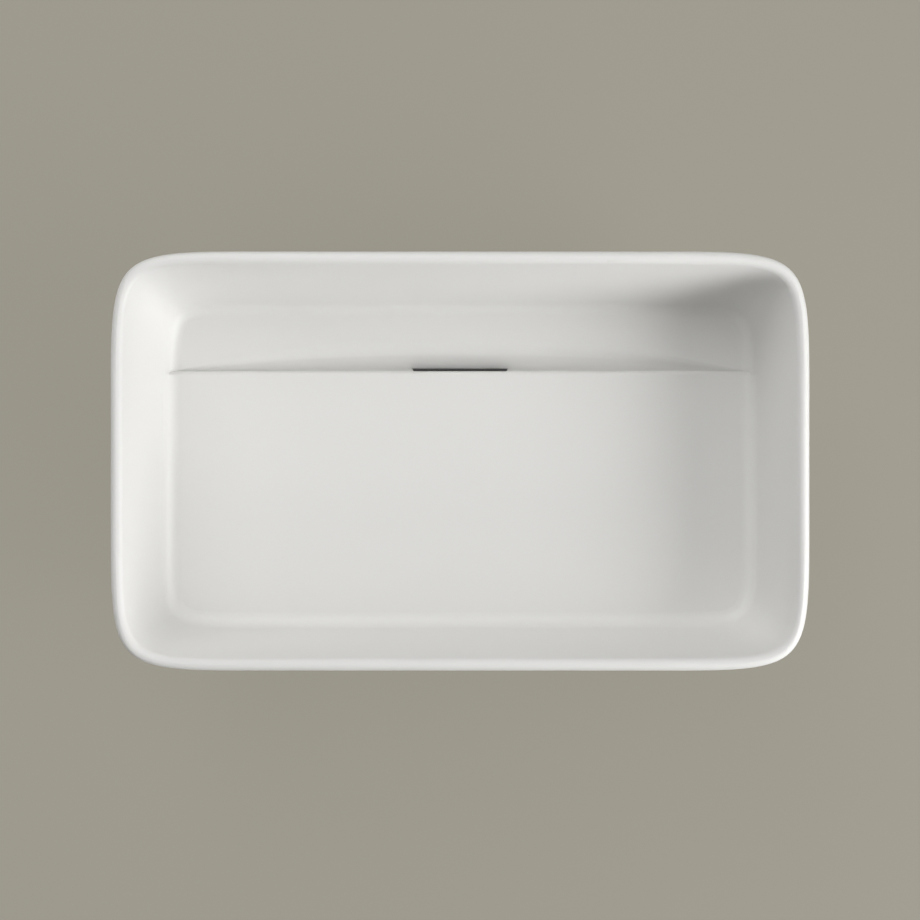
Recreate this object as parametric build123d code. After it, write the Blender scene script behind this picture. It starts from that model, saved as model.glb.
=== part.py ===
from build123d import *

import os
from math import cos, pi, radians, sin, tan

# Countertop basin with a concealed outlet, modelled in millimetres.
# Origin: centre of the foot ring's underside, which rests on the countertop.
# +X runs along the basin to the right, +Y to its back, +Z up.

# Ceramic body, outside
rim_length = 600.0
rim_depth = 360.0
body_height = 140.0
outer_draft = 8.1
outer_corner_reach = 112.0
outer_corner_bow = 5.6
foot_corner_reach = 94.0
foot_edge_radius = 12.0

# Rim, a full round on the top of the wall
rim_width = 11.2
rim_radius = 5.45

# Bowl: the drafts of its walls, in degrees, and its corners at the rim and at the floor
side_draft = 10.4
front_draft = 10.9
back_draft = 15.0
bowl_rim_reach = 101.0
bowl_rim_bow = 1.0
bowl_floor_reach = 72.5
bowl_floor_bow = 3.5

# Floor of the bowl, nearly level, which ends in a lip over the rear channel
lip_top = 45.0
floor_fall = 0.75
floor_edge_radius = 14.0
lip_face = 83.6
lip_radius = 3.6
lip_thickness = 9.0
lip_under_radius = 2.5

# Rear channel: a level shelf at the foot of the back wall, rolling down to the slot under the lip
shelf_top = 40.5
shelf_edge_radius = 12.0
roll_drop = 14.0
roll_angle = 33.0
roll_start = 113.0
channel_end = 264.0
channel_end_share = 0.04
channel_foot_radius = 8.0
channel_stations = 5

# Slot and the outlet sump under the floor
slot_width = 90.0
slot_rear = 87.2
slot_rear_radius = 1.0
throat_angle = 70.0
slot_corner_radius = 3.0
sump_floor = 18.0
outlet_centre = 38.0
outlet_bore = 46.0

# Underside of the ceramic
ceramic_wall = 10.5
sump_wall = 9.0
foot_width = 16.0
pocket_corner_reach = 62.0
pocket_draft = 3.0
pocket_roof_radius = 8.0
housing_edge_radius = 5.0
step_wall = 13.0
web_width = 10.0
web_clearance = 3.0

# Fixings through the countertop
counter_thickness = 30.0
stud_spacing = 280.0
stud_line = 0.0
stud_diameter = 8.0
stud_thread_pitch_diameter = 7.2
stud_shank_short_of_washer = 2.0
stud_below_nut = 14.0
boss_diameter = 34.0
boss_clearance = 2.0
plug_diameter = 14.0
plug_length = 26.0
plug_hole_spare = 4.0
plug_collar_diameter = 19.0
plug_collar_height = 1.6
plug_rings = 4
plug_ring_height = 0.7
plug_ring_width = 3.0
plug_slit_width = 1.4
stud_depth_in_plug = 22.0
rubber_washer_diameter = 34.0
rubber_washer_thickness = 4.0
steel_washer_diameter = 30.0
steel_washer_thickness = 2.5
nut_across_flats = 13.0
nut_bevel_diameter = 14.6
nut_height = 6.5

# Waste, drawn together from below by one screw
flange_diameter = 64.0
flange_thickness = 2.0
flange_edge_chamfer = 0.8
flange_spigot_depth = 4.0
flange_spigot_wall = 1.6
flange_boss_diameter = 15.0
flange_boss_depth = 5.5
seal_inset = 1.0
grate_slots = 8
grate_slot_width = 4.6
grate_slot_inner = 11.0
grate_slot_outer = 18.0
flange_seal_thickness = 1.5
body_seal_thickness = 4.0
body_seal_diameter = 68.0
body_flange_diameter = 70.0
body_flange_thickness = 4.0
cup_bore = 44.0
cup_wall = 3.0
cup_taper = 6.0
tail_diameter = 41.91
tail_bore = 35.0
tail_bottom = -66.0
tail_thread_length = 34.0
tail_neck_diameter = 39.6
spider_arms = 3
spider_arm_width = 4.0
spider_thickness = 6.0
spider_top = -4.0
spider_hub_diameter = 15.0
screw_diameter = 8.0
screw_head_diameter = 13.0
screw_head_height = 8.0
screw_socket = 6.0
screw_socket_depth = 4.5
screw_edge_chamfer = 0.8

# Comb that stands in the throat of the slot and catches hair
comb_plate_thickness = 2.0
comb_base_thickness = 1.8
comb_tooth_depth = 1.8
comb_tooth_width = 1.6
comb_tooth_gap = 2.6
comb_top = 0.6
comb_tooth_top = 2.5
comb_grip_length = 22.0
comb_grip_height = 4.0
comb_grip_below_top = 2.4

# Running and seating clearances
side_clearance = 0.6
slide_clearance = 0.35
bore_clearance = 0.2
spigot_clearance = 0.4
thread_clearance = 0.1
seat_clearance = 0.05

# Values worked out from the sizes above
rim_flare = rim_radius * ((1 + sin(radians(outer_draft))) / cos(radians(outer_draft)) - 1)
outer_half_x = rim_length / 2 + rim_flare
outer_half_y = rim_depth / 2 + rim_flare
foot_inset = body_height * tan(radians(outer_draft))
lip_under = lip_top - lip_thickness
roll_slope = tan(radians(roll_angle))
slot_rear_top = shelf_top - roll_drop + (slot_rear - lip_face) * roll_slope
sump_half_width = slot_width / 2
sump_rear = slot_rear - (slot_rear_top - sump_floor) / tan(radians(throat_angle))
throat_up = Vector(cos(radians(throat_angle)), sin(radians(throat_angle)))
throat_across = Vector(-sin(radians(throat_angle)), cos(radians(throat_angle)))
throat_gap = (
    (lip_face - lip_under_radius - slot_rear) * throat_across.X
    + (lip_under + lip_under_radius - slot_rear_top) * throat_across.Y
    - lip_under_radius
)
outlet_seat = sump_floor - sump_wall
flange_under = sump_floor + flange_seal_thickness
flange_top = flange_under + flange_thickness
body_top = outlet_seat - body_seal_thickness
rubber_low = -counter_thickness - rubber_washer_thickness
steel_low = rubber_low - steel_washer_thickness
nut_low = steel_low - nut_height
stud_bottom = nut_low - stud_below_nut
on_floor = (Align.CENTER, Align.CENTER, Align.MIN)
channel_ceiling = 2.0
past = 1.0
beyond = 20.0


def corner_outline(half_x, front, back, reach, bow, z):
    """Closed outline at height z: four straight sides joined by corners of smoothly rising curvature."""
    corners = [
        Vector(half_x, back, z),
        Vector(-half_x, back, z),
        Vector(-half_x, front, z),
        Vector(half_x, front, z),
    ]
    edges = []
    for index, corner in enumerate(corners):
        following = corners[(index + 1) % 4]
        to_previous = (corners[index - 1] - corner).normalized()
        to_following = (following - corner).normalized()
        leaves = corner + to_following * reach
        edges.append(
            Edge.make_bezier(
                corner + to_previous * reach,
                corner + to_previous * bow,
                corner + to_following * bow,
                leaves,
            )
        )
        edges.append(Edge.make_line(leaves, following - to_following * reach))
    return Face(Wire(edges))


def across(points_face, half_width):
    """A profile drawn in Y and Z, extruded evenly to both sides along X."""
    return extrude(Plane.YZ * points_face, amount=half_width, both=True)


def outer_form():
    """Outside of the body: drafted walls from the foot to the rim."""
    top = corner_outline(
        outer_half_x, -outer_half_y, outer_half_y, outer_corner_reach, outer_corner_bow, body_height
    )
    foot = corner_outline(
        outer_half_x - foot_inset,
        foot_inset - outer_half_y,
        outer_half_y - foot_inset,
        foot_corner_reach,
        outer_corner_bow,
        0.0,
    )
    form = loft([foot, top])
    return fillet(form.faces().sort_by(Axis.Z)[0].edges(), foot_edge_radius)


def bowl_section(z):
    """Outline of the bowl's walls at height z, with each wall at its own draft."""
    depth = body_height - z
    floor_depth = body_height - lip_top
    share = depth / floor_depth
    return corner_outline(
        outer_half_x - rim_width - depth * tan(radians(side_draft)),
        rim_width - outer_half_y + depth * tan(radians(front_draft)),
        outer_half_y - rim_width - depth * tan(radians(back_draft)),
        bowl_rim_reach + (bowl_floor_reach - bowl_rim_reach) * share,
        bowl_rim_bow + (bowl_floor_bow - bowl_rim_bow) * share,
        z,
    )


def bowl_void(floor_plane, edge_radius):
    """Space between the bowl's walls above a floor plane, rounded where the floor meets the walls."""
    walls = loft([bowl_section(sump_floor - beyond), bowl_section(body_height + past)])
    space = split(walls, bisect_by=floor_plane, keep=Keep.TOP)
    floor_face = space.faces().sort_by(Axis.Z)[0]
    return fillet(floor_face.edges(), edge_radius)


def main_bowl():
    """The bowl over its nearly level floor, which falls a little towards the lip."""
    tilt = Plane(
        origin=(0, lip_face - lip_radius, lip_top),
        x_dir=(1, 0, 0),
        z_dir=(0, sin(radians(floor_fall)), cos(radians(floor_fall))),
    )
    return bowl_void(tilt, floor_edge_radius)


def rear_shelf():
    """The lower shelf behind the lip; its front boundary is the rounded lip of the floor."""
    space = bowl_void(Plane.XY.offset(shelf_top), shelf_edge_radius)
    lip_start = lip_face - lip_radius
    lip_side = make_face(
        Polyline(
            (lip_start, lip_top), (lip_start, body_height + beyond),
            (rim_depth, body_height + beyond), (rim_depth, shelf_top - past), (lip_face, shelf_top - past),
            (lip_face, lip_top - lip_radius),
        )
        + RadiusArc((lip_start, lip_top), (lip_face, lip_top - lip_radius), lip_radius)
    )
    return space & across(lip_side, rim_length)


def roll_profile(share):
    """Y and Z points of the channel's roll at one station: run and drop shrink together by share."""
    run = roll_start - lip_face
    knee = roll_drop / roll_slope
    tangent = run - knee
    start = Vector(lip_face + run * share, shelf_top)
    knee_point = Vector(lip_face + knee * share, shelf_top)
    down_slope = Vector(-cos(radians(roll_angle)), -sin(radians(roll_angle)))
    landing = knee_point + down_slope * tangent * share
    foot = Vector(lip_face, shelf_top - roll_drop * share)
    return start, knee_point, landing, foot


def roll_section(x, share):
    """One section of the channel's roll: level start, rounded shoulder, straight fall, rounded foot."""
    start, knee_point, landing, foot = roll_profile(share)
    back_off = channel_foot_radius * share * tan(radians(90 - roll_angle) / 2)
    foot_low = foot + Vector(cos(radians(roll_angle)), sin(radians(roll_angle))) * back_off
    foot_high = foot + Vector(0, back_off)
    ceiling = Vector(0, channel_ceiling)
    lip_ceiling = Vector(lip_face, shelf_top) + ceiling

    def place(point):
        return Vector(x, point.X, point.Y)

    edges = [
        Edge.make_bezier(place(start), place(knee_point), place(landing)),
        Edge.make_line(place(landing), place(foot_low)),
        Edge.make_bezier(place(foot_low), place(foot), place(foot_high)),
        Edge.make_line(place(foot_high), place(lip_ceiling)),
        Edge.make_line(place(lip_ceiling), place(start + ceiling)),
        Edge.make_line(place(start + ceiling), place(start)),
    ]
    return Face(Wire(edges))


def station_x(step):
    """Distance of a station from the middle of the basin, from the slot's end to the side wall."""
    return sump_half_width + (channel_end - sump_half_width) * step / (channel_stations - 1)


def station_share(step):
    """Share of the full drop at a station: full beside the slot, fading to the side walls."""
    fade = cos(pi / 2 * step / (channel_stations - 1))
    return channel_end_share + (1 - channel_end_share) * fade


def channel_roll():
    """The rolled part of the channel on both sides of the slot."""
    right = loft(
        [roll_section(station_x(step), station_share(step)) for step in range(channel_stations)]
    )
    return right + mirror(right, about=Plane.YZ)


def throat_void():
    """The slot: the roll comes down to it, and a steep throat goes on under the lip to the sump."""
    start, knee_point, landing = roll_profile(1.0)[:3]
    slot_edge = Vector(slot_rear, slot_rear_top)
    under_edge = Vector(lip_face - lip_under_radius, lip_under)
    face_edge = Vector(lip_face, lip_under + lip_under_radius)
    ceiling = Vector(0, channel_ceiling)
    profile = make_face(
        Bezier(start, knee_point, landing)
        + Polyline(
            landing,
            slot_edge,
            Vector(sump_rear, sump_floor),
            Vector(outlet_centre, sump_floor),
            Vector(outlet_centre, lip_under),
            under_edge,
        )
        + RadiusArc(under_edge, face_edge, -lip_under_radius)
        + Polyline(face_edge, Vector(lip_face, shelf_top) + ceiling, start + ceiling, start)
    )
    slot = across(profile, sump_half_width)
    rear_edge = slot.edges().filter_by(Axis.X).sort_by_distance((0, slot_rear, slot_rear_top))[0]
    slot = fillet(rear_edge, slot_rear_radius)
    over_sump = Vector(sump_half_width, (outlet_centre + under_edge.X) / 2, lip_under)
    sides = [
        slot.edges().filter_by(Axis.Y).sort_by_distance((side * over_sump.X, over_sump.Y, over_sump.Z))[0]
        for side in (-1, 1)
    ]
    return fillet(sides, slot_corner_radius)


def sump_void():
    """The round end of the sump, about the outlet."""
    round_end = Pos(0, outlet_centre, sump_floor) * Cylinder(
        sump_half_width, lip_under - sump_floor, align=on_floor
    )
    return fillet(round_end.edges().sort_by(Axis.Z)[-1], slot_corner_radius)


def outlet_void():
    """The outlet bore through the sump's floor."""
    return Pos(0, outlet_centre, 0) * Cylinder(outlet_bore / 2, sump_floor + past, align=on_floor)


def sump_housing():
    """Ceramic kept round the sump below the floor, with a flat seat for the waste on its underside."""
    radius = sump_half_width + sump_wall
    straight = slot_rear + sump_wall - outlet_centre
    plan = Pos(0, outlet_centre) * Circle(radius)
    plan += Pos(0, outlet_centre + straight / 2) * Rectangle(2 * radius, straight)
    housing = extrude(Pos(0, 0, outlet_seat) * plan, amount=body_height / 2)
    return fillet(housing.faces().sort_by(Axis.Z)[0].edges(), housing_edge_radius)


def under_channel_section(x, share):
    """Section of the ceramic kept under the channel's roll at one station."""
    front = lip_face - step_wall
    low = shelf_top - roll_drop * share - ceramic_wall
    run_end = lip_face + (roll_start - lip_face) * share
    high = body_height / 2
    points = [
        (front, high),
        (front, low),
        (lip_face, low),
        (run_end, shelf_top - ceramic_wall),
        (run_end, high),
    ]
    return Face(Wire.make_polygon([Vector(x, y, z) for y, z in points]))


def under_channel():
    """Ceramic kept under the shelf and the roll, a wall's thickness below them."""
    sections = [
        under_channel_section(station_x(step), station_share(step)) for step in range(channel_stations)
    ]
    right = loft(sections)
    middle = extrude(sections[0], amount=slot_width, dir=(-1, 0, 0))
    front = lip_face - step_wall
    shelf = Pos(0, front, shelf_top - ceramic_wall) * Box(
        rim_length, rim_depth, body_height, align=(Align.CENTER, Align.MIN, Align.MIN)
    )
    return shelf + right + mirror(right, about=Plane.YZ) + middle


def webs_and_bosses():
    """The two webs that carry the floor in the kiln, each with the boss of a fixing."""
    kept = Part()
    for side in (-1, 1):
        web = Pos(side * stud_spacing / 2, 0, web_clearance) * Box(
            web_width, rim_depth, body_height, align=on_floor
        )
        boss = Pos(side * stud_spacing / 2, stud_line, boss_clearance) * Cylinder(
            boss_diameter / 2, body_height / 2, align=on_floor
        )
        kept += web + boss
    return kept


def fixing_holes():
    """Blind holes for the expansion plugs."""
    hole = Cylinder(
        plug_diameter / 2 + bore_clearance,
        boss_clearance + plug_length + plug_hole_spare,
        align=on_floor,
    )
    return Part() + [Pos(side * stud_spacing / 2, stud_line, 0) * hole for side in (-1, 1)]


def underside_pocket():
    """Open space inside the foot ring, under the floor of the bowl."""
    foot_edge = foot_edge_radius * tan(radians(90 - outer_draft) / 2)
    inset = foot_inset + foot_edge + foot_width

    def section(z):
        rise = inset + z * tan(radians(pocket_draft))
        return corner_outline(
            outer_half_x - rise, rise - outer_half_y, outer_half_y - rise,
            pocket_corner_reach, outer_corner_bow, z,
        )

    space = loft([section(0.0), section(lip_top - ceramic_wall)])
    space = fillet(space.faces().sort_by(Axis.Z)[-1].edges(), pocket_roof_radius)
    return space - sump_housing() - under_channel() - webs_and_bosses()


def basin_body():
    """The one-piece glazed ceramic body."""
    hollow = main_bowl() + rear_shelf() + channel_roll() + throat_void() + sump_void() + outlet_void()
    body = outer_form() - hollow
    rim = body.faces().filter_by(Plane.XY).sort_by(Axis.Z)[-1]
    body = fillet(rim.edges(), rim_radius)
    return body - underside_pocket() - fixing_holes()


def at_outlet(shape):
    """Move a piece modelled about the Z axis to the outlet's axis."""
    return Pos(0, outlet_centre, 0) * shape


def tube(outer, inner, bottom, top):
    """A ring or tube about the Z axis, from its two diameters and its two levels."""
    height = top - bottom
    solid = Cylinder(outer / 2, height, align=on_floor) - Cylinder(inner / 2, height, align=on_floor)
    return Pos(0, 0, bottom) * solid


def rod(diameter, bottom, top):
    """A plain round bar about the Z axis between two levels."""
    return Pos(0, 0, bottom) * Cylinder(diameter / 2, top - bottom, align=on_floor)


def flange_seal():
    """Flat seal between the strainer flange and the sump's floor."""
    return at_outlet(
        tube(
            flange_diameter - 2 * seal_inset,
            outlet_bore + 2 * bore_clearance,
            sump_floor,
            flange_under,
        )
    )


def waste_flange():
    """Strainer flange: a grated plate with a spigot in the outlet bore and a threaded boss."""
    spigot = outlet_bore - 2 * spigot_clearance
    plate = rod(flange_diameter, flange_under, flange_top)
    plate = chamfer(plate.edges().sort_by(Axis.Z)[-1], flange_edge_chamfer)
    middle = (grate_slot_inner + grate_slot_outer) / 2
    slot = SlotCenterToCenter(grate_slot_outer - grate_slot_inner, grate_slot_width)
    cutter = extrude(Pos(middle, 0, flange_under) * slot, amount=flange_thickness)
    grate = plate - [Rot(0, 0, 360 / grate_slots * step) * cutter for step in range(grate_slots)]
    skirt = tube(spigot, spigot - 2 * flange_spigot_wall, flange_under - flange_spigot_depth, flange_under)
    boss = rod(flange_boss_diameter, flange_under - flange_boss_depth, flange_under)
    thread = rod(screw_diameter + 2 * thread_clearance, flange_under - flange_boss_depth, flange_top)
    return at_outlet(grate + skirt + boss - thread)


def body_seal():
    """Seal between the waste body and the underside of the ceramic."""
    return at_outlet(tube(body_seal_diameter, outlet_bore, body_top, outlet_seat))


def waste_body():
    """Waste body: a flanged cup with a spider for the screw and a male tail for the trap."""
    flange_low = body_top - body_flange_thickness
    neck_top = spider_top - spider_thickness - cup_taper
    outline = Polyline(
        (cup_bore / 2, body_top),
        (body_flange_diameter / 2, body_top),
        (body_flange_diameter / 2, flange_low),
        (cup_bore / 2 + cup_wall, flange_low),
        (cup_bore / 2 + cup_wall, spider_top - spider_thickness),
        (tail_neck_diameter / 2, neck_top),
        (tail_neck_diameter / 2, tail_bottom + tail_thread_length),
        (tail_diameter / 2, tail_bottom + tail_thread_length),
        (tail_diameter / 2, tail_bottom),
        (tail_bore / 2, tail_bottom),
        (tail_bore / 2, neck_top),
        (cup_bore / 2, spider_top - spider_thickness),
        close=True,
    )
    shell = revolve(Plane.XZ * make_face(outline), axis=Axis.Z)
    hub = rod(spider_hub_diameter, spider_top - spider_thickness, spider_top)
    arm = Pos(0, 0, spider_top - spider_thickness) * Box(
        cup_bore / 2 + cup_wall / 2,
        spider_arm_width,
        spider_thickness,
        align=(Align.MIN, Align.CENTER, Align.MIN),
    )
    spider = hub + [Rot(0, 0, 360 / spider_arms * step) * arm for step in range(spider_arms)]
    hole = rod(screw_diameter + 2 * bore_clearance, spider_top - spider_thickness, spider_top)
    return at_outlet(shell + spider - hole)


def clamp_screw():
    """Socket screw that pulls the waste body up to the strainer flange."""
    seat = spider_top - spider_thickness
    head = rod(screw_head_diameter, seat - screw_head_height, seat)
    head = chamfer(head.edges().sort_by(Axis.Z)[0], screw_edge_chamfer)
    socket = extrude(
        Pos(0, 0, seat - screw_head_height) * RegularPolygon(screw_socket / 2, 6, major_radius=False),
        amount=screw_socket_depth,
    )
    shank = rod(screw_diameter, seat, flange_top - screw_edge_chamfer)
    shank = chamfer(shank.edges().sort_by(Axis.Z)[-1], screw_edge_chamfer)
    return at_outlet(head - socket + shank)


def both_fixings(shape):
    """The same piece at both fixings, as separate solids in one group."""
    copies = [Pos(side * stud_spacing / 2, stud_line, 0) * shape for side in (-1, 1)]
    return Compound([solid for copy in copies for solid in copy.solids()])


def fixing_plug():
    """Expansion plug: a collar on the boss, a slit sleeve with holding rings in the hole."""
    top = boss_clearance + plug_length
    core = plug_diameter - 2 * plug_ring_height
    sleeve = rod(core, boss_clearance, top)
    collar = rod(plug_collar_diameter, boss_clearance - plug_collar_height, boss_clearance)
    pitch = plug_length / (plug_rings + 1)
    rings = [
        Pos(0, 0, boss_clearance + pitch * (step + 1))
        * Cone(core / 2, plug_diameter / 2, plug_ring_width, align=on_floor)
        for step in range(plug_rings)
    ]
    slit = Pos(0, 0, boss_clearance + pitch / 2) * Box(
        plug_diameter + 2 * past, plug_slit_width, plug_length, align=on_floor
    )
    hole = rod(
        stud_thread_pitch_diameter + 2 * seat_clearance, boss_clearance - plug_collar_height, top
    )
    return sleeve + collar + rings - slit - hole


def fixing_stud():
    """Stud from the plug down through the countertop: a plain shank between two threaded ends."""
    threads = rod(stud_thread_pitch_diameter, stud_bottom, boss_clearance + stud_depth_in_plug)
    threads = chamfer(threads.edges().filter_by(GeomType.CIRCLE), screw_edge_chamfer)
    shank_bottom = -counter_thickness + stud_shank_short_of_washer
    return threads + rod(stud_diameter, shank_bottom, boss_clearance - plug_collar_height)


def fixing_rubber_washer():
    """Rubber washer against the underside of the countertop."""
    hole = stud_diameter + 2 * bore_clearance
    return tube(rubber_washer_diameter, hole, rubber_low, -counter_thickness)


def fixing_steel_washer():
    """Steel washer between the rubber washer and the nut."""
    hole = stud_diameter + 2 * bore_clearance
    return tube(steel_washer_diameter, hole, steel_low, rubber_low)


def fixing_nut():
    """Hexagon nut on the stud."""
    hexagon = extrude(
        Pos(0, 0, nut_low) * RegularPolygon(nut_across_flats / 2, 6, major_radius=False),
        amount=nut_height,
    )
    blank = rod(nut_bevel_diameter, nut_low, steel_low)
    blank = chamfer(blank.edges().filter_by(GeomType.CIRCLE), screw_edge_chamfer)
    return (hexagon & blank) - rod(stud_thread_pitch_diameter + 2 * thread_clearance, nut_low, steel_low)


def throat_point(along, over):
    """Y and Z of a point in the throat: along its slope from the slot's rear edge, and over its wall."""
    return Vector(slot_rear, slot_rear_top) + throat_up * along + throat_across * over


def throat_strip(near, far, low, high):
    """Profile between two distances from the throat's wall, from a level up to a mark along it."""
    foot_near = throat_point((low - throat_point(0, near).Y) / throat_up.Y, near)
    foot_far = throat_point((low - throat_point(0, far).Y) / throat_up.Y, far)
    return make_face(
        Polyline(foot_near, foot_far, throat_point(high, far), throat_point(high, near), close=True)
    )


def hair_comb():
    """Comb in the throat: a back plate with a finger grip, a base on the sump's floor, front teeth."""
    half = sump_half_width - side_clearance
    low = sump_floor + seat_clearance
    near = slide_clearance
    far = throat_gap - slide_clearance
    plate = across(throat_strip(near, near + comb_plate_thickness, low, -comb_top), half)
    whole = across(throat_strip(near, far, low, comb_tooth_top), half)
    front_edges = whole.edges().filter_by(Axis((0, 0, 0), (0, throat_up.X, throat_up.Y))).sort_by(Axis.Y)[:2]
    whole = fillet(front_edges, slot_corner_radius + slide_clearance)
    base = whole & Pos(0, slot_rear, low) * Box(
        slot_width, rim_depth, comb_base_thickness, align=on_floor
    )
    fence = whole & across(throat_strip(far - comb_tooth_depth, far, low, comb_tooth_top), half)
    pitch = comb_tooth_width + comb_tooth_gap
    gaps = int((2 * half - 2 * comb_tooth_width) / pitch)
    gap = Pos(0, slot_rear, low + comb_base_thickness) * Box(
        comb_tooth_gap, rim_depth, body_height, align=on_floor
    )
    fence -= [Pos((step - (gaps - 1) / 2) * pitch, 0, 0) * gap for step in range(gaps)]
    incline = Plane(
        origin=(0, slot_rear, slot_rear_top),
        x_dir=(1, 0, 0),
        z_dir=(0, throat_across.X, throat_across.Y),
    )
    grip = Pos(0, -comb_top - comb_grip_below_top - comb_grip_height / 2) * SlotOverall(
        comb_grip_length, comb_grip_height
    )
    return plate + base + fence - extrude(incline * grip, amount=near + comb_plate_thickness + past)


def write(name, shape):
    """One STEP file for each piece or group of like pieces."""
    shape.label = name
    export_step(shape, f"parts/{name}.step")


os.makedirs("parts", exist_ok=True)
write("basin_body", basin_body())
write("hair_comb", hair_comb())
write("waste_flange", waste_flange())
write("flange_seal", flange_seal())
write("body_seal", body_seal())
write("waste_body", waste_body())
write("clamp_screw", clamp_screw())
write("fixing_plugs", both_fixings(fixing_plug()))
write("fixing_studs", both_fixings(fixing_stud()))
write("fixing_rubber_washers", both_fixings(fixing_rubber_washer()))
write("fixing_steel_washers", both_fixings(fixing_steel_washer()))
write("fixing_nuts", both_fixings(fixing_nut()))
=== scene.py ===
from math import cos, pi, radians, sin

import bmesh
import bpy
from mathutils import Matrix, Vector


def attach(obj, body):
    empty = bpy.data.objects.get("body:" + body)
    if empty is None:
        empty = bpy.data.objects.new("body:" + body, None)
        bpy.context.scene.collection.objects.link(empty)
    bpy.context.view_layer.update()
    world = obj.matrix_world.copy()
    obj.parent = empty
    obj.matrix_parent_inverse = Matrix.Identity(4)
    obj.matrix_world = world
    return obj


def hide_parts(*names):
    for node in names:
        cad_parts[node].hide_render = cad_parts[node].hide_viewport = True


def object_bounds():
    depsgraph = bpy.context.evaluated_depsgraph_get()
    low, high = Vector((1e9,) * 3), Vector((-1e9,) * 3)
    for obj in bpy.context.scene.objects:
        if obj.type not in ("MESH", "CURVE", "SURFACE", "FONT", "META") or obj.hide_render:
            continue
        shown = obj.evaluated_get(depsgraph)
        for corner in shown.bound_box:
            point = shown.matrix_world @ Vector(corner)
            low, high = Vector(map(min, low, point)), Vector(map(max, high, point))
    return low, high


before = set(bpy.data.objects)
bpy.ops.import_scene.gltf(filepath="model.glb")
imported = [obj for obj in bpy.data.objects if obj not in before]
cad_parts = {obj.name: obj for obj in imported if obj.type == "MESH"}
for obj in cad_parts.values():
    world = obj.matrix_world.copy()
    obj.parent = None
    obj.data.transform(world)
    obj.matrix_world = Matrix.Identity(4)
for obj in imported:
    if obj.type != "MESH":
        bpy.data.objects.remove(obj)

cad_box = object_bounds()

# Ceramic body.
# One casting of vitreous china, open at the back of its floor into a channel and a hidden sump.
# It is sprayed with a white satin glaze and fired standing on its foot ring, which stays bare.
GLAZE_WHITE = (0.740, 0.735, 0.720)
BARE_CHINA = (0.640, 0.600, 0.520)
GLAZE_STARTS = 0.0007
GLAZE_LOWEST_SHARE = 0.4
GLAZE_COAT = 0.6
GLAZE_COAT_ROUGHNESS = 0.38
GLAZE_COAT_IOR = 1.45
GLAZE_SPECULAR = 0.30
NOISE_MIDDLE = 0.5
# Places of the Mix node's colour sockets, whose names its number sockets share.
MIX_COLOUR_A = 6
MIX_COLOUR_B = 7
MIX_COLOUR_RESULT = 2


def uneven_finish_group():
    """Shader group for any made surface: small drifts of colour and gloss, broad waves and fine grain."""
    group = bpy.data.node_groups.new("Uneven finish", "ShaderNodeTree")
    wanted = [
        ("Colour", "NodeSocketColor"),
        ("Colour drift", "NodeSocketFloat"),
        ("Roughness", "NodeSocketFloat"),
        ("Roughness drift", "NodeSocketFloat"),
        ("Waves per metre", "NodeSocketFloat"),
        ("Wave height", "NodeSocketFloat"),
        ("Grains per metre", "NodeSocketFloat"),
        ("Grain height", "NodeSocketFloat"),
    ]
    for name, kind in wanted:
        group.interface.new_socket(name, in_out="INPUT", socket_type=kind)
    put_out = [
        ("Colour", "NodeSocketColor"),
        ("Roughness", "NodeSocketFloat"),
        ("Height", "NodeSocketFloat"),
    ]
    for name, kind in put_out:
        group.interface.new_socket(name, in_out="OUTPUT", socket_type=kind)
    nodes, links = group.nodes, group.links
    given = nodes.new("NodeGroupInput")
    made = nodes.new("NodeGroupOutput")
    place = nodes.new("ShaderNodeTexCoord")

    def noise(per_metre, detail):
        texture = nodes.new("ShaderNodeTexNoise")
        texture.inputs["Detail"].default_value = detail
        links.new(place.outputs["Object"], texture.inputs["Vector"])
        links.new(given.outputs[per_metre], texture.inputs["Scale"])
        level = nodes.new("ShaderNodeMath")
        level.operation = "SUBTRACT"
        level.inputs[1].default_value = NOISE_MIDDLE
        links.new(texture.outputs["Fac"], level.inputs[0])
        return level.outputs["Value"]

    def scaled(value, amount):
        product = nodes.new("ShaderNodeMath")
        product.operation = "MULTIPLY"
        links.new(value, product.inputs[0])
        links.new(given.outputs[amount], product.inputs[1])
        return product.outputs["Value"]

    def added(first, second):
        total = nodes.new("ShaderNodeMath")
        total.operation = "ADD"
        links.new(first, total.inputs[0])
        links.new(second, total.inputs[1])
        return total.outputs["Value"]

    broad = noise("Waves per metre", detail=2.0)
    fine = noise("Grains per metre", detail=3.0)
    lightness = nodes.new("ShaderNodeHueSaturation")
    brighter = nodes.new("ShaderNodeMath")
    brighter.operation = "ADD"
    brighter.inputs[1].default_value = 1.0
    links.new(scaled(added(broad, fine), "Colour drift"), brighter.inputs[0])
    links.new(brighter.outputs["Value"], lightness.inputs["Value"])
    links.new(given.outputs["Colour"], lightness.inputs["Color"])
    links.new(lightness.outputs["Color"], made.inputs["Colour"])
    links.new(added(given.outputs["Roughness"], scaled(broad, "Roughness drift")), made.inputs["Roughness"])
    links.new(added(scaled(broad, "Wave height"), scaled(fine, "Grain height")), made.inputs["Height"])
    return group


UNEVEN_FINISH = uneven_finish_group()


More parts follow.
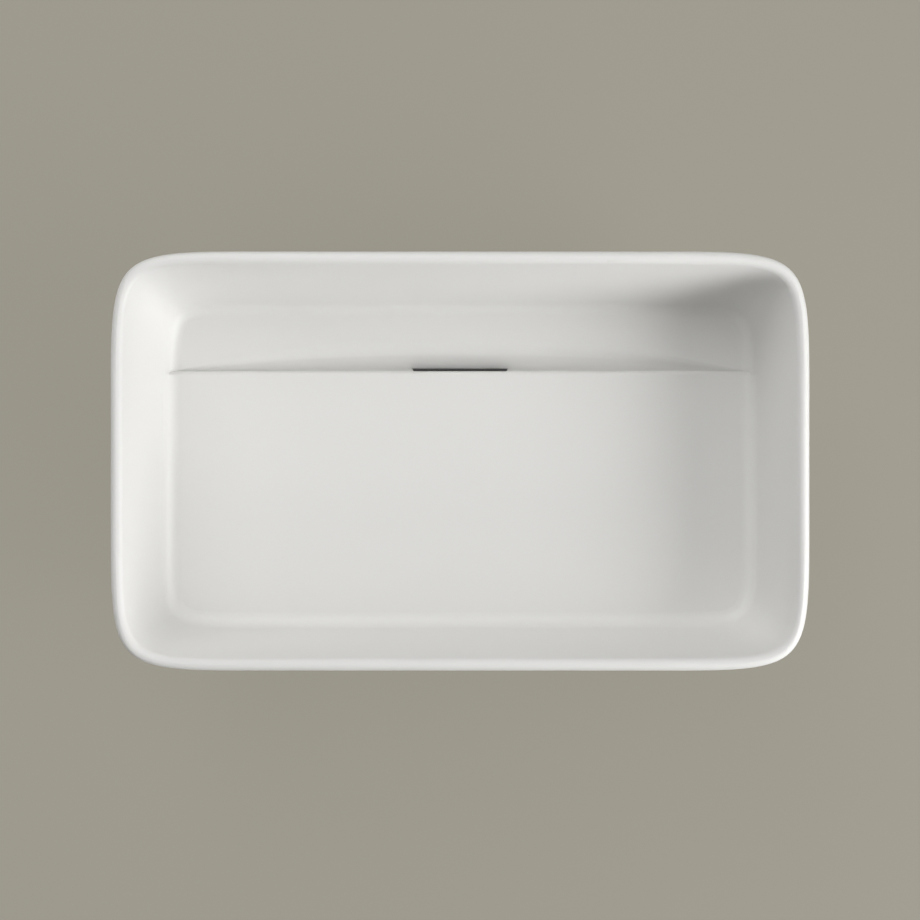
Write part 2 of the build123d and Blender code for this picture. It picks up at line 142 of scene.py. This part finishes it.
def surface(name, colour, drift, roughness, rough_drift, waves, wave_height, grains, grain_height):
    """A material with the uneven finish on it. Returns it with its shader, its finish and its bump."""
    material = bpy.data.materials.new(name)
    material.use_nodes = True
    nodes, links = material.node_tree.nodes, material.node_tree.links
    shader = nodes["Principled BSDF"]
    finish = nodes.new("ShaderNodeGroup")
    finish.node_tree = UNEVEN_FINISH
    finish.inputs["Colour"].default_value = (*colour, 1.0)
    finish.inputs["Colour drift"].default_value = drift
    finish.inputs["Roughness"].default_value = roughness
    finish.inputs["Roughness drift"].default_value = rough_drift
    finish.inputs["Waves per metre"].default_value = waves
    finish.inputs["Wave height"].default_value = wave_height
    finish.inputs["Grains per metre"].default_value = grains
    finish.inputs["Grain height"].default_value = grain_height
    bump = nodes.new("ShaderNodeBump")
    bump.inputs["Distance"].default_value = 1.0
    links.new(finish.outputs["Colour"], shader.inputs["Base Color"])
    links.new(finish.outputs["Roughness"], shader.inputs["Roughness"])
    links.new(finish.outputs["Height"], bump.inputs["Height"])
    links.new(bump.outputs["Normal"], shader.inputs["Normal"])
    return material, shader, finish, bump


def dress(node, material):
    """Give a node of the frame its finish."""
    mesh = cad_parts[node].data
    mesh.materials.clear()
    mesh.materials.append(material)


def glazed_ceramic():
    """Satin white glaze over fired china, bare below the line where the glaze starts on the foot ring."""
    material, shader, finish = surface(
        "Satin white glaze", GLAZE_WHITE, drift=0.020, roughness=0.55, rough_drift=0.06,
        waves=14.0, wave_height=0.00020, grains=420.0, grain_height=0.000010,
    )[:3]
    shader.inputs["Coat Roughness"].default_value = GLAZE_COAT_ROUGHNESS
    shader.inputs["Coat IOR"].default_value = GLAZE_COAT_IOR
    shader.inputs["Specular IOR Level"].default_value = GLAZE_SPECULAR
    nodes, links = material.node_tree.nodes, material.node_tree.links
    place = nodes.new("ShaderNodeTexCoord")
    level = nodes.new("ShaderNodeSeparateXYZ")
    links.new(place.outputs["Object"], level.inputs["Vector"])
    glazed = nodes.new("ShaderNodeMapRange")
    glazed.inputs["From Min"].default_value = GLAZE_STARTS * GLAZE_LOWEST_SHARE
    glazed.inputs["From Max"].default_value = GLAZE_STARTS
    links.new(level.outputs["Z"], glazed.inputs["Value"])
    above_foot = nodes.new("ShaderNodeMath")
    above_foot.operation = "COMPARE"
    above_foot.inputs[1].default_value = 0.0
    above_foot.inputs[2].default_value = GLAZE_STARTS
    links.new(level.outputs["Z"], above_foot.inputs[0])
    bare = nodes.new("ShaderNodeMath")
    bare.operation = "SUBTRACT"
    bare.use_clamp = True
    links.new(above_foot.outputs["Value"], bare.inputs[0])
    links.new(glazed.outputs["Result"], bare.inputs[1])
    colour = nodes.new("ShaderNodeMix")
    colour.data_type = "RGBA"
    links.new(bare.outputs["Value"], colour.inputs["Factor"])
    links.new(finish.outputs["Colour"], colour.inputs[MIX_COLOUR_A])
    colour.inputs[MIX_COLOUR_B].default_value = (*BARE_CHINA, 1.0)
    links.new(colour.outputs[MIX_COLOUR_RESULT], shader.inputs["Base Color"])
    rough = nodes.new("ShaderNodeMath")
    rough.operation = "MAXIMUM"
    links.new(finish.outputs["Roughness"], rough.inputs[0])
    links.new(bare.outputs["Value"], rough.inputs[1])
    links.new(rough.outputs["Value"], shader.inputs["Roughness"])
    coat = nodes.new("ShaderNodeMath")
    coat.operation = "SUBTRACT"
    coat.use_clamp = True
    coat.inputs[0].default_value = GLAZE_COAT
    links.new(bare.outputs["Value"], coat.inputs[1])
    links.new(coat.outputs["Value"], shader.inputs["Coat Weight"])
    return material


dress("basin_body", glazed_ceramic())

# Hair comb.
# One moulding of matt plastic that stands in the throat of the slot, coloured anthracite.
# The anthracite is partly the comb's own colour and partly painted shade: it is made dark so that the strip of
# comb seen in the slot stands in for the slot's deep shade.
# It lifts out by hand for cleaning; the mould leaves a fine and slightly uneven grain on it.
ANTHRACITE_AND_SLOT_SHADE = (0.045, 0.045, 0.047)

# Painted shade: the comb's dark colour also stands in for the deep shade of the slot around it.
comb_plastic_and_slot_shade = surface(
    "Anthracite plastic with painted slot shade", ANTHRACITE_AND_SLOT_SHADE, drift=0.10, roughness=0.46, rough_drift=0.12,
    waves=60.0, wave_height=0.00004, grains=2600.0, grain_height=0.000012,
)[0]
dress("hair_comb", comb_plastic_and_slot_shade)

# Strainer flange.
# Stainless steel, turned on a lathe and punched with eight slots over the outlet.
# The tool leaves fine rings about the outlet's axis; the clamp screw is threaded into its boss.
OUTLET_Y = 0.038
STAINLESS = (0.620, 0.615, 0.600)
RING_WANDER = 0.6
# A wave texture of scale 1 has this many radians of wave in a metre.
WAVE_TEXTURE_PACE = 20


def turned_metal(name, colour, roughness, rings_apart, ring_height):
    """Bare metal with fine turning rings about the outlet's axis."""
    material, shader, finish, bump = surface(
        name, colour, drift=0.06, roughness=roughness, rough_drift=0.10,
        waves=30.0, wave_height=0.00002, grains=1500.0, grain_height=0.000002,
    )
    shader.inputs["Metallic"].default_value = 1.0
    nodes, links = material.node_tree.nodes, material.node_tree.links
    place = nodes.new("ShaderNodeTexCoord")
    centred = nodes.new("ShaderNodeMapping")
    centred.inputs["Location"].default_value = (0.0, -OUTLET_Y, 0.0)
    links.new(place.outputs["Object"], centred.inputs["Vector"])
    rings = nodes.new("ShaderNodeTexWave")
    rings.wave_type = "RINGS"
    rings.rings_direction = "Z"
    rings.inputs["Scale"].default_value = 2 * pi / (WAVE_TEXTURE_PACE * rings_apart)
    rings.inputs["Distortion"].default_value = RING_WANDER
    links.new(centred.outputs["Vector"], rings.inputs["Vector"])
    height = nodes.new("ShaderNodeMath")
    height.operation = "MULTIPLY_ADD"
    height.inputs[1].default_value = ring_height
    links.new(rings.outputs["Fac"], height.inputs[0])
    links.new(finish.outputs["Height"], height.inputs[2])
    links.new(height.outputs["Value"], bump.inputs["Height"])
    return material


flange_steel = turned_metal(
    "Brushed stainless steel", STAINLESS, roughness=0.28, rings_apart=0.0007, ring_height=0.000012
)
dress("waste_flange", flange_steel)

# Seals and rubber washers.
# Moulded black rubber rings: one over the outlet hole, one under it, and one under each fixing.
# They have the dull and slightly blotched bloom of new rubber.
RUBBER_BLACK = (0.028, 0.027, 0.026)

rubber = surface(
    "Black rubber", RUBBER_BLACK, drift=0.35, roughness=0.66, rough_drift=0.16,
    waves=90.0, wave_height=0.00005, grains=1800.0, grain_height=0.00002,
)[0]
for node in ("flange_seal", "body_seal", "fixing_rubber_washers"):
    dress(node, rubber)

# Waste body.
# A brass casting, turned and chrome plated, held up against the seal by the clamp screw.
# Its tail carries a pipe thread of 11 turns to the inch for the trap; a spider inside takes the screw.
CHROME = (0.560, 0.560, 0.565)
PIPE_THREAD_PITCH = 0.002309
PIPE_THREAD_LOW = -0.0656
PIPE_THREAD_TURNS = 13
PIPE_THREAD_RIDGE = [(0.01945, 0.0), (0.020955, 0.00085), (0.020955, 0.00120), (0.01945, 0.00210)]
STEPS_PER_PIPE_TURN = 72
SHELL_PROFILE = [
    (0.0220, 0.0050), (0.0346, 0.0050), (0.0350, 0.0046), (0.0350, 0.0014), (0.0346, 0.0010),
    (0.0250, 0.0010), (0.0250, -0.0100), (0.0198, -0.0160), (0.0198, -0.0320), (0.0195, -0.0324),
    (0.0195, -0.0655), (0.0190, -0.0660), (0.0178, -0.0660), (0.0175, -0.0657), (0.0175, -0.0160),
    (0.0220, -0.0100),
]
HUB_PROFILE = [(0.0042, -0.0040), (0.0075, -0.0040), (0.0075, -0.0100), (0.0042, -0.0100)]
LATHE_STEPS = 96
SPIDER_ARMS = 3
ARM_SIZE = (0.0175, 0.0040, 0.0060)
ARM_CENTRE = (0.01475, 0.0, -0.0070)
SHARP_EDGE = radians(25)


def ring_of(profile, shape):
    """Verts and edges of a closed profile of radius and level pairs, ready to be spun about the outlet."""
    corners = [shape.verts.new((radius, OUTLET_Y, level)) for radius, level in profile]
    sides = [shape.edges.new((corners[index - 1], corner)) for index, corner in enumerate(corners)]
    return corners + sides


def threaded_waste_body():
    """The waste body with its flange, cup, neck, spider and the helical thread of its tail."""
    shape = bmesh.new()
    axis = (0.0, OUTLET_Y, 0.0)
    for profile in (SHELL_PROFILE, HUB_PROFILE):
        bmesh.ops.spin(
            shape, geom=ring_of(profile, shape), cent=axis, axis=(0.0, 0.0, 1.0), angle=2 * pi,
            steps=LATHE_STEPS, use_merge=True,
        )
    for step in range(SPIDER_ARMS):
        placed = (
            Matrix.Translation(axis)
            @ Matrix.Rotation(2 * pi * step / SPIDER_ARMS, 4, "Z")
            @ Matrix.Translation(ARM_CENTRE)
            @ Matrix.Diagonal((*ARM_SIZE, 1.0))
        )
        bmesh.ops.create_cube(shape, size=1.0, matrix=placed)
    ridge = [
        shape.verts.new((radius, OUTLET_Y, PIPE_THREAD_LOW + rise)) for radius, rise in PIPE_THREAD_RIDGE
    ]
    start = shape.faces.new(ridge)
    bmesh.ops.spin(
        shape, geom=[start, *start.edges, *ridge], cent=axis, axis=(0.0, 0.0, 1.0),
        dvec=(0.0, 0.0, PIPE_THREAD_PITCH / STEPS_PER_PIPE_TURN), angle=2 * pi * PIPE_THREAD_TURNS,
        steps=PIPE_THREAD_TURNS * STEPS_PER_PIPE_TURN,
    )
    bmesh.ops.recalc_face_normals(shape, faces=shape.faces)
    for face in shape.faces:
        face.smooth = True
    mesh = bpy.data.meshes.new("threaded_waste_body")
    shape.to_mesh(mesh)
    shape.free()
    mesh.set_sharp_from_angle(angle=SHARP_EDGE)
    return mesh


chrome = turned_metal("Chromed brass", CHROME, roughness=0.16, rings_apart=0.0011, ring_height=0.000006)
dress("waste_body", chrome)
waste_mesh = threaded_waste_body()
waste_mesh.materials.append(chrome)
waste = bpy.data.objects.new("threaded_waste_body", waste_mesh)
bpy.context.scene.collection.objects.link(waste)
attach(waste, "basin")
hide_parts("waste_body")

# Clamp screw.
# A stainless socket screw that draws the waste body up to the flange from below.
# Its head is driven with a key through the tail.
screw_steel = turned_metal(
    "Stainless screw", STAINLESS, roughness=0.24, rings_apart=0.0005, ring_height=0.000004
)
dress("clamp_screw", screw_steel)

# Expansion plugs.
# Pale grey nylon mouldings pushed into the two blind holes of the ceramic.
# Nylon is a little waxy, with a soft moulding texture.
NYLON_GREY = (0.360, 0.360, 0.355)

nylon = surface(
    "Grey nylon", NYLON_GREY, drift=0.05, roughness=0.44, rough_drift=0.10,
    waves=50.0, wave_height=0.00004, grains=1500.0, grain_height=0.00001,
)[0]
dress("fixing_plugs", nylon)

# Studs, steel washers and nuts.
# Zinc plated steel fixings: a stud screwed into each plug, and a washer and a nut under the countertop.
# The plating is bright but cloudy, with a slight blue cast; the stud's lower end has a rolled thread.
ZINC = (0.590, 0.605, 0.620)
STUD_SPACING = 0.280
STUD_THREAD_ROOT = 0.00355
STUD_THREAD_CREST = 0.0040
STUD_THREAD_PITCH = 0.00125
STUD_THREAD_LOW = -0.0562
STUD_THREAD_TURNS = 22
STUD_RIDGE_WIDTH = 0.96
MERGE_WITHIN = 0.000001
STEPS_PER_TURN = 24


def zinc_plate():
    """Bright zinc plating with a cloudy grain."""
    material, shader = surface(
        "Zinc plate", ZINC, drift=0.14, roughness=0.30, rough_drift=0.16,
        waves=160.0, wave_height=0.00002, grains=2200.0, grain_height=0.000004,
    )[:2]
    shader.inputs["Metallic"].default_value = 1.0
    return material


zinc = zinc_plate()
for node in ("fixing_studs", "fixing_steel_washers", "fixing_nuts"):
    dress(node, zinc)


def stud_thread(side, name):
    """Helical ridge of one stud's rolled thread, from its lower end up to the shank."""
    axis_x = side * STUD_SPACING / 2
    thread = bmesh.new()
    ridge = [
        thread.verts.new((axis_x + STUD_THREAD_ROOT, 0.0, STUD_THREAD_LOW)),
        thread.verts.new((axis_x + STUD_THREAD_CREST, 0.0, STUD_THREAD_LOW + STUD_THREAD_PITCH / 2)),
        thread.verts.new((axis_x + STUD_THREAD_ROOT, 0.0, STUD_THREAD_LOW + STUD_THREAD_PITCH * STUD_RIDGE_WIDTH)),
    ]
    flank = thread.faces.new(ridge)
    steps = STUD_THREAD_TURNS * STEPS_PER_TURN
    bmesh.ops.spin(
        thread,
        geom=[flank, *flank.edges, *ridge],
        cent=(axis_x, 0.0, 0.0),
        axis=(0.0, 0.0, 1.0),
        dvec=(0.0, 0.0, STUD_THREAD_PITCH / STEPS_PER_TURN),
        angle=2 * pi * STUD_THREAD_TURNS,
        steps=steps,
        use_duplicate=False,
    )
    bmesh.ops.remove_doubles(thread, verts=thread.verts, dist=MERGE_WITHIN)
    bmesh.ops.recalc_face_normals(thread, faces=thread.faces)
    mesh = bpy.data.meshes.new(name)
    thread.to_mesh(mesh)
    thread.free()
    mesh.materials.append(zinc)
    piece = bpy.data.objects.new(name, mesh)
    bpy.context.scene.collection.objects.link(piece)
    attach(piece, "basin")


stud_thread(-1, "left_stud_thread")
stud_thread(1, "right_stud_thread")

# Floor.
# A plain pale ground under the whole object, matt and faintly mottled like sealed plaster.
# It is left open from below, so that the underside of the basin can be looked at through it.
FLOOR_SIZE = 40.0
FLOOR_CLEARANCE = 0.0005
FLOOR_COLOUR = (0.347, 0.328, 0.275)
# Share of its own even light in what the camera and reflections see of the ground.
EVEN_SHARE = 0.78


def plain_floor():
    """The floor plane just under the lowest point of the object."""
    sheet = bmesh.new()
    bmesh.ops.create_grid(sheet, x_segments=1, y_segments=1, size=FLOOR_SIZE / 2)
    bmesh.ops.translate(sheet, verts=sheet.verts, vec=(0.0, 0.0, cad_box[0].z - FLOOR_CLEARANCE))
    mesh = bpy.data.meshes.new("floor")
    sheet.to_mesh(mesh)
    sheet.free()
    material, shader, finish = surface(
        "Pale ground", FLOOR_COLOUR, drift=0.01, roughness=0.85, rough_drift=0.05,
        waves=9.0, wave_height=0.0001, grains=300.0, grain_height=0.00002,
    )[:3]
    nodes, links = material.node_tree.nodes, material.node_tree.links
    own_light = nodes.new("ShaderNodeEmission")
    links.new(finish.outputs["Colour"], own_light.inputs["Color"])
    rays = nodes.new("ShaderNodeLightPath")
    seen = nodes.new("ShaderNodeMath")
    seen.operation = "MAXIMUM"
    links.new(rays.outputs["Is Camera Ray"], seen.inputs[0])
    links.new(rays.outputs["Is Glossy Ray"], seen.inputs[1])
    share = nodes.new("ShaderNodeMath")
    share.operation = "MULTIPLY"
    share.inputs[1].default_value = EVEN_SHARE
    links.new(seen.outputs["Value"], share.inputs[0])
    ground = nodes.new("ShaderNodeMixShader")
    links.new(share.outputs["Value"], ground.inputs[0])
    links.new(shader.outputs["BSDF"], ground.inputs[1])
    links.new(own_light.outputs["Emission"], ground.inputs[2])
    clear = nodes.new("ShaderNodeBsdfTransparent")
    side = nodes.new("ShaderNodeNewGeometry")
    either = nodes.new("ShaderNodeMixShader")
    links.new(side.outputs["Backfacing"], either.inputs[0])
    links.new(ground.outputs["Shader"], either.inputs[1])
    links.new(clear.outputs["BSDF"], either.inputs[2])
    links.new(either.outputs["Shader"], nodes["Material Output"].inputs["Surface"])
    mesh.materials.append(material)
    floor = bpy.data.objects.new("floor", mesh)
    bpy.context.scene.collection.objects.link(floor)


plain_floor()

# Camera and light.
# The camera looks straight down on the middle of the basin, as in the photograph.
# A broad window stands to the right and a little in front; large pale reflectors fill from the rest.
CAMERA_HEIGHT = 1.2325
CAMERA_BACK = 0.0009
CAMERA_LENS = 50.0
CAMERA_SENSOR = 36.0
LAMP_DISTANCE = 2.5
# Each lamp has its name, azimuth and elevation in degrees, disc in metres and power in watts.
LAMPS = [
    ("window", -15.0, 30.0, 1.6, 44.5),
    ("window_front", -47.0, 18.0, 1.0, 22.0),
    ("back_reflector", 115.0, 31.0, 2.0, 22.8),
    ("back_overhead", 104.0, 60.0, 1.8, 12.8),
    ("left_overhead", 192.0, 60.0, 1.8, 8.0),
    ("left_reflector", 224.0, 30.0, 1.8, 5.6),
    ("right_overhead", 30.0, 60.0, 1.6, 6.2),
    ("left_back_reflector", 160.0, 30.0, 1.8, 2.8),
]
BACKDROP = FLOOR_COLOUR

camera = bpy.data.objects.new("camera", bpy.data.cameras.new("camera"))
camera.data.lens = CAMERA_LENS
camera.data.sensor_width = CAMERA_SENSOR
camera.location = (0.0, CAMERA_BACK, CAMERA_HEIGHT)
bpy.context.scene.collection.objects.link(camera)
bpy.context.scene.camera = camera

for name, azimuth, elevation, size, watts in LAMPS:
    lamp = bpy.data.objects.new(name, bpy.data.lights.new(name, "AREA"))
    lamp.data.shape = "DISK"
    lamp.data.size = size
    lamp.data.energy = watts
    toward = Vector(
        (
            cos(radians(elevation)) * cos(radians(azimuth)),
            cos(radians(elevation)) * sin(radians(azimuth)),
            sin(radians(elevation)),
        )
    )
    lamp.location = toward * LAMP_DISTANCE
    lamp.rotation_mode = "QUATERNION"
    lamp.rotation_quaternion = toward.to_track_quat("Z", "Y")
    bpy.context.scene.collection.objects.link(lamp)

world = bpy.data.worlds.new("studio")
bpy.context.scene.world = world
world.use_nodes = True
backdrop = world.node_tree.nodes["Background"]
backdrop.inputs["Color"].default_value = (*BACKDROP, 1.0)
rays = world.node_tree.nodes.new("ShaderNodeLightPath")
seen = world.node_tree.nodes.new("ShaderNodeMath")
seen.operation = "MAXIMUM"
world.node_tree.links.new(rays.outputs["Is Camera Ray"], seen.inputs[0])
world.node_tree.links.new(rays.outputs["Is Glossy Ray"], seen.inputs[1])
seen_through = world.node_tree.nodes.new("ShaderNodeMath")
seen_through.operation = "MAXIMUM"
world.node_tree.links.new(seen.outputs["Value"], seen_through.inputs[0])
world.node_tree.links.new(rays.outputs["Is Transmission Ray"], seen_through.inputs[1])
world.node_tree.links.new(seen_through.outputs["Value"], backdrop.inputs["Strength"])

bpy.context.scene.view_settings.view_transform = "Standard"
